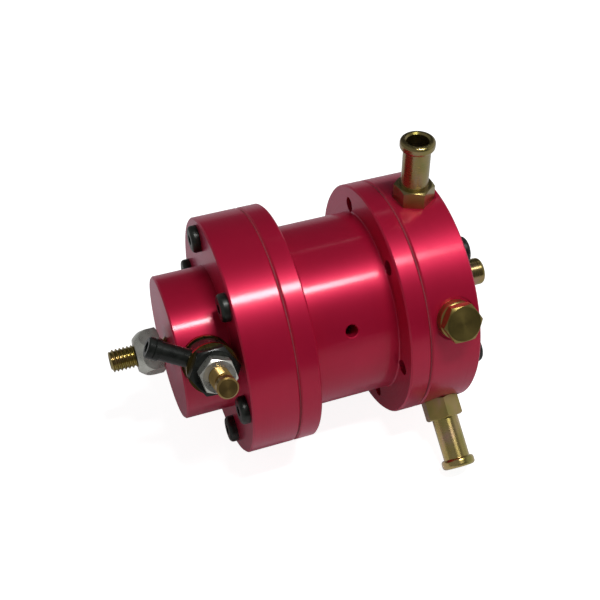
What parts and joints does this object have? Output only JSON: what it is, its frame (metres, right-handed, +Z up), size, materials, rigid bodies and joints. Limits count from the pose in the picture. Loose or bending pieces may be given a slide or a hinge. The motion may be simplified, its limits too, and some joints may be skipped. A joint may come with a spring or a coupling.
{
  "type": "fuel pressure regulator",
  "caption": "Adjustable inline fuel pressure regulator: flanged spool housing, spring bonnet with adjusting screw, beaded hose barbs, return nipple and bleed banjo.",
  "frame": {"origin": "on the axis of the housing, in the middle of the barrel that a clamp goes round", "axes": "+X along the axis of the housing, from the adjusting screw to the return nipple; +Z up as it rests"},
  "size_m": [0.1067, 0.0764, 0.0815],
  "materials": {
    "red_anodised": "turned, anodised red",
    "black_oxide": "black oxide on steel",
    "gloss_black": "glossy black plating on steel",
    "yellow_passivated": "turned, yellow passivated",
    "sealing_ring": "turned sealing ring",
    "bright_zinc": "bright zinc plated steel",
    "spring_steel": "plain steel",
    "valve_brass": "turned brass",
    "diaphragm_rubber": "fabric-backed rubber"
  },
  "bodies": {
    "housing": {"bonnet": "red_anodised", "body": "red_anodised", "base": "red_anodised", "bonnet_screws": "black_oxide", "base_screws": "black_oxide", "banjo": "gloss_black", "banjo_bolt": "gloss_black", "return_nipple": "yellow_passivated", "inlet_barb": "yellow_passivated", "outlet_barb": "yellow_passivated", "gauge_plug": "yellow_passivated", "banjo_washers": "sealing_ring", "needle_lock_nut": "bright_zinc", "stem_guide_bush": "valve_brass", "valve_seat": "valve_brass", "control_diaphragm": "diaphragm_rubber", "fuel_diaphragm": "diaphragm_rubber"},
    "spring_seat": {"upper_spring_seat": "spring_steel", "main_spring": "spring_steel"},
    "adjuster": {"adjusting_screw": "yellow_passivated", "adjuster_lock_nut": "bright_zinc"},
    "valve": {"stem": "spring_steel", "stem_nut": "bright_zinc", "control_plate_upper": "spring_steel", "control_plate_lower": "spring_steel", "fuel_plate": "spring_steel", "valve_disc": "valve_brass"},
    "needle_seal": {"needle_o_ring": "diaphragm_rubber"},
    "needle": {"bleed_needle": "yellow_passivated"}
  },
  "joints": [
    {"name": "seat_travel", "type": "slide", "parent": "housing", "child": "spring_seat", "axis": [1, 0, 0], "range_m": [-0.0015, 0.0015], "deforming": ["main_spring"]},
    {"name": "screw_turn", "type": "hinge", "parent": "spring_seat", "child": "adjuster", "pos_m": [0, 0, 0], "axis": [1, 0, 0], "range_deg": [-540, 540]},
    {"name": "valve_lift", "type": "slide", "parent": "housing", "child": "valve", "axis": [-1, 0, 0], "range_m": [0, 0.0012], "stiffness_N_per_m": 2000, "springref_m": -0.005, "deforming": ["main_spring", "control_diaphragm", "fuel_diaphragm"]},
    {"name": "needle_travel", "type": "slide", "parent": "housing", "child": "needle_seal", "axis": [0, -0.8586, 0.5127], "range_m": [-0.0006, 0.0008]},
    {"name": "needle_turn", "type": "hinge", "parent": "needle_seal", "child": "needle", "pos_m": [-0.03695, 0, 0], "axis": [0, -0.8586, 0.5127], "range_deg": [-270, 360]}
  ],
  "couplings": [
    {"joint": "screw_turn", "follows": "seat_travel", "rad_per_m": 6283.2},
    {"joint": "needle_turn", "follows": "needle_travel", "rad_per_m": 7854}
  ]
}
